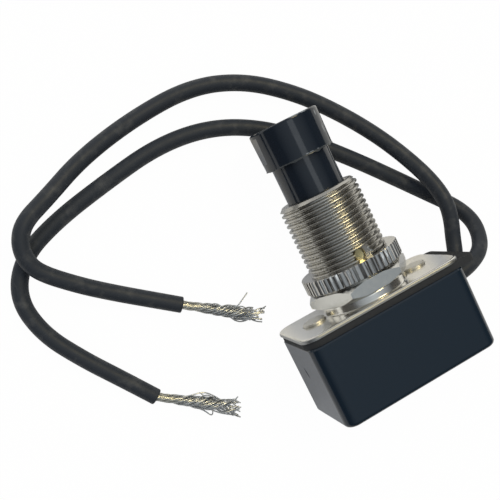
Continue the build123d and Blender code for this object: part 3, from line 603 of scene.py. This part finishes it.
class Finish:
    """Procedural material whose textures lie in the frame's own coordinates."""

    def __init__(self, name, colour, rough, metallic=0.0, specular=0.5, relief=None):
        self.material = bpy.data.materials.new(name)
        self.material.use_nodes = True
        self.tree = self.material.node_tree
        self.shader = self.tree.nodes["Principled BSDF"]
        self.shader.inputs["Base Color"].default_value = (*colour, 1)
        self.shader.inputs["Metallic"].default_value = metallic
        self.shader.inputs["Specular IOR Level"].default_value = specular
        self.where = self.add("ShaderNodeTexCoord", {}).outputs["Object"]
        scale, least, most = rough
        self.tree.links.new(self.ranged(self.noise(scale), least, most), self.shader.inputs["Roughness"])
        if relief:
            scale, detail, depth, stretch = relief
            height = self.noise(scale, detail, stretch)
            bump = self.add("ShaderNodeBump", {"Height": height, "Distance": depth * MM})
            self.tree.links.new(bump.outputs["Normal"], self.shader.inputs["Normal"])

    def add(self, kind, inputs, **settings):
        """Node in this material."""
        return add_node(self.tree, kind, inputs, **settings)

    def noise(self, scale, detail=3.0, stretch=None):
        """Noise texture; stretch squeezes it along an axis of the frame."""
        where = self.where
        if stretch:
            where = self.add("ShaderNodeMapping", {"Vector": where, "Scale": stretch}).outputs["Vector"]
        texture = self.add("ShaderNodeTexNoise", {"Vector": where, "Scale": scale, "Detail": detail})
        return texture.outputs["Fac"]

    def ranged(self, source, low, high, start=0.3, end=0.7):
        """Source between start and end, spread over low to high."""
        limits = {"From Min": start, "From Max": end, "To Min": low, "To Max": high}
        return self.add("ShaderNodeMapRange", {"Value": source, **limits}).outputs["Result"]

    def patches(self, scale, detail, start, end):
        """Mask of cloudy patches: it grows from 0 to 1 between two levels of a noise."""
        return self.ranged(self.noise(scale, detail), 0, 1, start, end)

    def specks(self, scale, size, share):
        """Mask of tiny dots in a share of the cells of a Voronoi pattern."""
        cells = self.add("ShaderNodeTexVoronoi", {"Vector": self.where, "Scale": scale})
        near = self.ranged(cells.outputs["Distance"], 1, 0, size * SPECK_CORE, size)
        parts = self.add("ShaderNodeSeparateColor", {"Color": cells.outputs["Color"]})
        chosen = self.ranged(parts.outputs["Red"], 0, 1, 1 - share, 1 - share + SPECK_STEP)
        return self.add("ShaderNodeMath", {0: near, 1: chosen}, operation="MULTIPLY").outputs["Value"]

    def spot(self, centre, radii, turn=0.0, core=0.5):
        """Mask of one spot about a frame point, turned by degrees about the X axis and soft past its core."""
        placed = {"Location": metres(centre), "Rotation": (radians(turn), 0, 0), "Scale": metres(radii)}
        mapping = self.add("ShaderNodeMapping", {"Vector": self.where, **placed}, vector_type="TEXTURE")
        away = self.add("ShaderNodeVectorMath", {0: mapping.outputs["Vector"]}, operation="LENGTH")
        return self.ranged(away.outputs["Value"], 1, 0, core, 1.0)

    def below(self, height, soft):
        """Mask that is 1 where the surface lies lower along the bushing's axis than the height."""
        parts = self.add("ShaderNodeSeparateXYZ", {"Vector": self.where})
        top = (PLATE_TOP_Y + height) * MM
        return self.ranged(parts.outputs["Y"], 1, 0, top - soft * MM, top)

    def blend(self, name, mask, value, kind="FLOAT"):
        """Lets another value show at an input of the shader where the mask is 1."""
        socket = self.shader.inputs[name]
        before = socket.links[0].from_socket if socket.is_linked else socket.default_value
        mix = self.add("ShaderNodeMix", {"Factor": mask, "A": before, "B": value}, data_type=kind)
        self.tree.links.new(mix.outputs["Result"], socket)

    def tint(self, mask, colour):
        """Lets another colour show where the mask is 1."""
        self.blend("Base Color", mask, (*colour, 1), "RGBA")


def make_finishes():
    """One material for each finish, the flash's among them, with their marks."""
    finishes = {slot: Finish(slot, **looks) for slot, looks in FINISHES.items()}

    housing = finishes["housing_resin"]
    housing.tint(housing.specks(*HOUSING_SPECKS), HOUSING_SPECK_COLOUR)
    housing.blend("Specular IOR Level", housing.spot(*HOUSING_DENT), 0.0)

    flash = finishes["cap_flash"]
    # Painted highlights: light patches stand in for glints on the flash
    flash.tint(flash.patches(*FLASH_GLINTS), FLASH_GLINT_COLOUR)

    button = finishes["button_resin"]
    # Painted highlights: light spots on the cap's edges stand in for glints
    for angle, height, across, along in CAP_GLINTS:
        centre = round_axis(CAP_RADIUS, radians(angle), height)
        button.tint(button.spot(centre, (across, along, across)), CAP_GLINT_COLOUR)

    thread = finishes["nickel_thread"]
    thread.tint(thread.spot(*PUNCH_BRASS), PUNCH_BRASS_COLOUR)

    plate = finishes["nickel_plate"]
    plate.tint(plate.specks(*PLATE_SPECKS), PLATE_SPECK_COLOUR)
    rim = plate.below(-PLATE_RIM_DROP, PLATE_RIM_SOFT)
    # Partly painted shade: the rim is darkened as well as dulled
    plate.tint(rim, PLATE_RIM_DULL_AND_SHADE_COLOUR)
    plate.blend("Roughness", rim, PLATE_RIM_ROUGHNESS)
    # Painted shade: a dark ring round each rivet head
    for x in (-RIVET_X, RIVET_X):
        plate.tint(plate.spot((x, PLATE_TOP_Y, AXIS_Z), RIVET_SHADE_RADII, core=RIVET_SHADE_CORE), RIVET_SHADE_COLOUR)

    vinyl = finishes["lead_vinyl"]
    vinyl.tint(vinyl.patches(*LEAD_SCUFFS), LEAD_SCUFF_COLOUR)

    tinned = finishes["tinned_copper"]
    # Painted highlight: a lighter, yellower tone at the strands' roots
    for route in (LEAD_A_ROUTE, LEAD_B_ROUTE):
        tinned.tint(tinned.spot(route[-1], STRAND_ROOT_HIGHLIGHT_RADII), STRAND_ROOT_HIGHLIGHT_COLOUR)

    return {slot: finish.material for slot, finish in finishes.items()}


def wear(piece, material):
    """Gives a piece one material."""
    piece.data.materials.clear()
    piece.data.materials.append(material)


# Floor and light

def add_floor():
    """White floor; the camera sees it almost evenly white, mirrors see more of the shadow on it."""
    mesh = bpy.data.meshes.new("floor")
    half = FLOOR_SIZE / 2
    corners = ((-half, -half), (half, -half), (half, half), (-half, half))
    mesh.from_pydata([metres((x, y, -FLOOR_DROP)) for x, y in corners], [], [(0, 1, 2, 3)])
    floor = add_object("floor", mesh)

    material = bpy.data.materials.new("floor_white")
    material.use_nodes = True
    tree = material.node_tree
    tree.nodes.clear()
    lit = add_node(tree, "ShaderNodeBsdfDiffuse", {"Color": FLOOR_COLOUR})
    even = add_node(tree, "ShaderNodeEmission", {"Strength": FLOOR_WHITE})
    path = add_node(tree, "ShaderNodeLightPath", {})
    glow = 0.0
    for ray, share in FLOOR_GLOW.items():
        terms = {0: path.outputs[ray], 1: share, 2: glow}
        glow = add_node(tree, "ShaderNodeMath", terms, operation="MULTIPLY_ADD").outputs["Value"]
    seen = {"Fac": glow, 1: lit.outputs["BSDF"], 2: even.outputs["Emission"]}
    mix = add_node(tree, "ShaderNodeMixShader", seen)
    add_node(tree, "ShaderNodeOutputMaterial", {"Surface": mix.outputs["Shader"]})
    wear(floor, material)


def add_lamp(name, where, width, height, power, colour):
    """Lamp that shines at the switch; its width lies across the bushing's axis."""
    data = bpy.data.lights.new(name, "AREA")
    data.shape = "RECTANGLE"
    data.size = width * MM
    data.size_y = height * MM
    data.energy = power
    data.color = colour
    back = metres(where).normalized()
    right = Vector((0, 1, 0)).cross(back).normalized()
    stand(add_object(name, data), where, right, back)


def add_world():
    """Soft light, strongest from beyond the button; mirrors see a dim room with a bright wall there."""
    world = bpy.data.worlds.new("studio")
    bpy.context.scene.world = world
    world.use_nodes = True
    tree = world.node_tree
    way = add_node(tree, "ShaderNodeTexCoord", {}).outputs["Generated"]

    towards = add_node(tree, "ShaderNodeVectorMath", {0: way, 1: AMBIENT_FROM}, operation="DOT_PRODUCT")
    least, most = AMBIENT
    limits = {"From Min": -1.0, "To Min": least, "To Max": most}
    level = add_node(tree, "ShaderNodeMapRange", {"Value": towards.outputs["Value"], **limits})
    even = tree.nodes["Background"]
    even.inputs["Color"].default_value = AMBIENT_COLOUR
    tree.links.new(level.outputs["Result"], even.inputs["Strength"])

    parts = add_node(tree, "ShaderNodeSeparateXYZ", {"Vector": way})
    ramp = add_node(tree, "ShaderNodeValToRGB", {"Fac": parts.outputs["Z"]})
    stops = ramp.color_ramp.elements
    for position, _ in ROOM_COLOURS[1:-1]:
        stops.new(position)
    for stop, (_, colour) in zip(stops, ROOM_COLOURS):
        stop.color = colour
    limits = {"From Min": ROOM_WALL_FROM, "From Max": ROOM_WALL_FULL}
    beyond = add_node(
        tree, "ShaderNodeMapRange", {"Value": parts.outputs["Y"], **limits}, interpolation_type="SMOOTHSTEP",
    )
    colours = {"Factor": beyond.outputs["Result"], "A": ramp.outputs["Color"], "B": ROOM_WALL}
    walls = add_node(tree, "ShaderNodeMix", colours, data_type="RGBA")
    room = add_node(tree, "ShaderNodeBackground", {"Color": walls.outputs["Result"]})

    path = add_node(tree, "ShaderNodeLightPath", {})
    seen = {"Fac": path.outputs["Is Glossy Ray"], 1: even.outputs["Background"], 2: room.outputs["Background"]}
    mix = add_node(tree, "ShaderNodeMixShader", seen)
    tree.links.new(mix.outputs["Shader"], tree.nodes["World Output"].inputs["Surface"])


add_camera()
materials = make_finishes()
for slot, nodes in SLOT_NODES.items():
    for node in nodes:
        wear(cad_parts[node], materials[slot])
wear(add_bushing(), materials["nickel_thread"])
wear(add_knurled_nut(), materials["nickel_knurl"])
wear(add_cap_flash(), materials["cap_flash"])
for lead in (
    ("a", LEAD_A_ROUTE, LEAD_A_EXIT, LEAD_A_LENGTH, LEAD_A_TIP, STRAYS_A, STRAND_A_SEED),
    ("b", LEAD_B_ROUTE, LEAD_B_EXIT, LEAD_B_LENGTH, LEAD_B_TIP, STRAYS_B, STRAND_B_SEED),
):
    jacket, cut_end, strands = add_lead(*lead)
    wear(jacket, materials["lead_vinyl"])
    wear(cut_end, materials["lead_vinyl"])
    wear(strands, materials["tinned_copper"])

add_floor()
add_lamp("key_lamp", *KEY_LAMP)
add_lamp("warm_lamp", *WARM_LAMP)
add_world()
bpy.context.scene.view_settings.view_transform = "Standard"
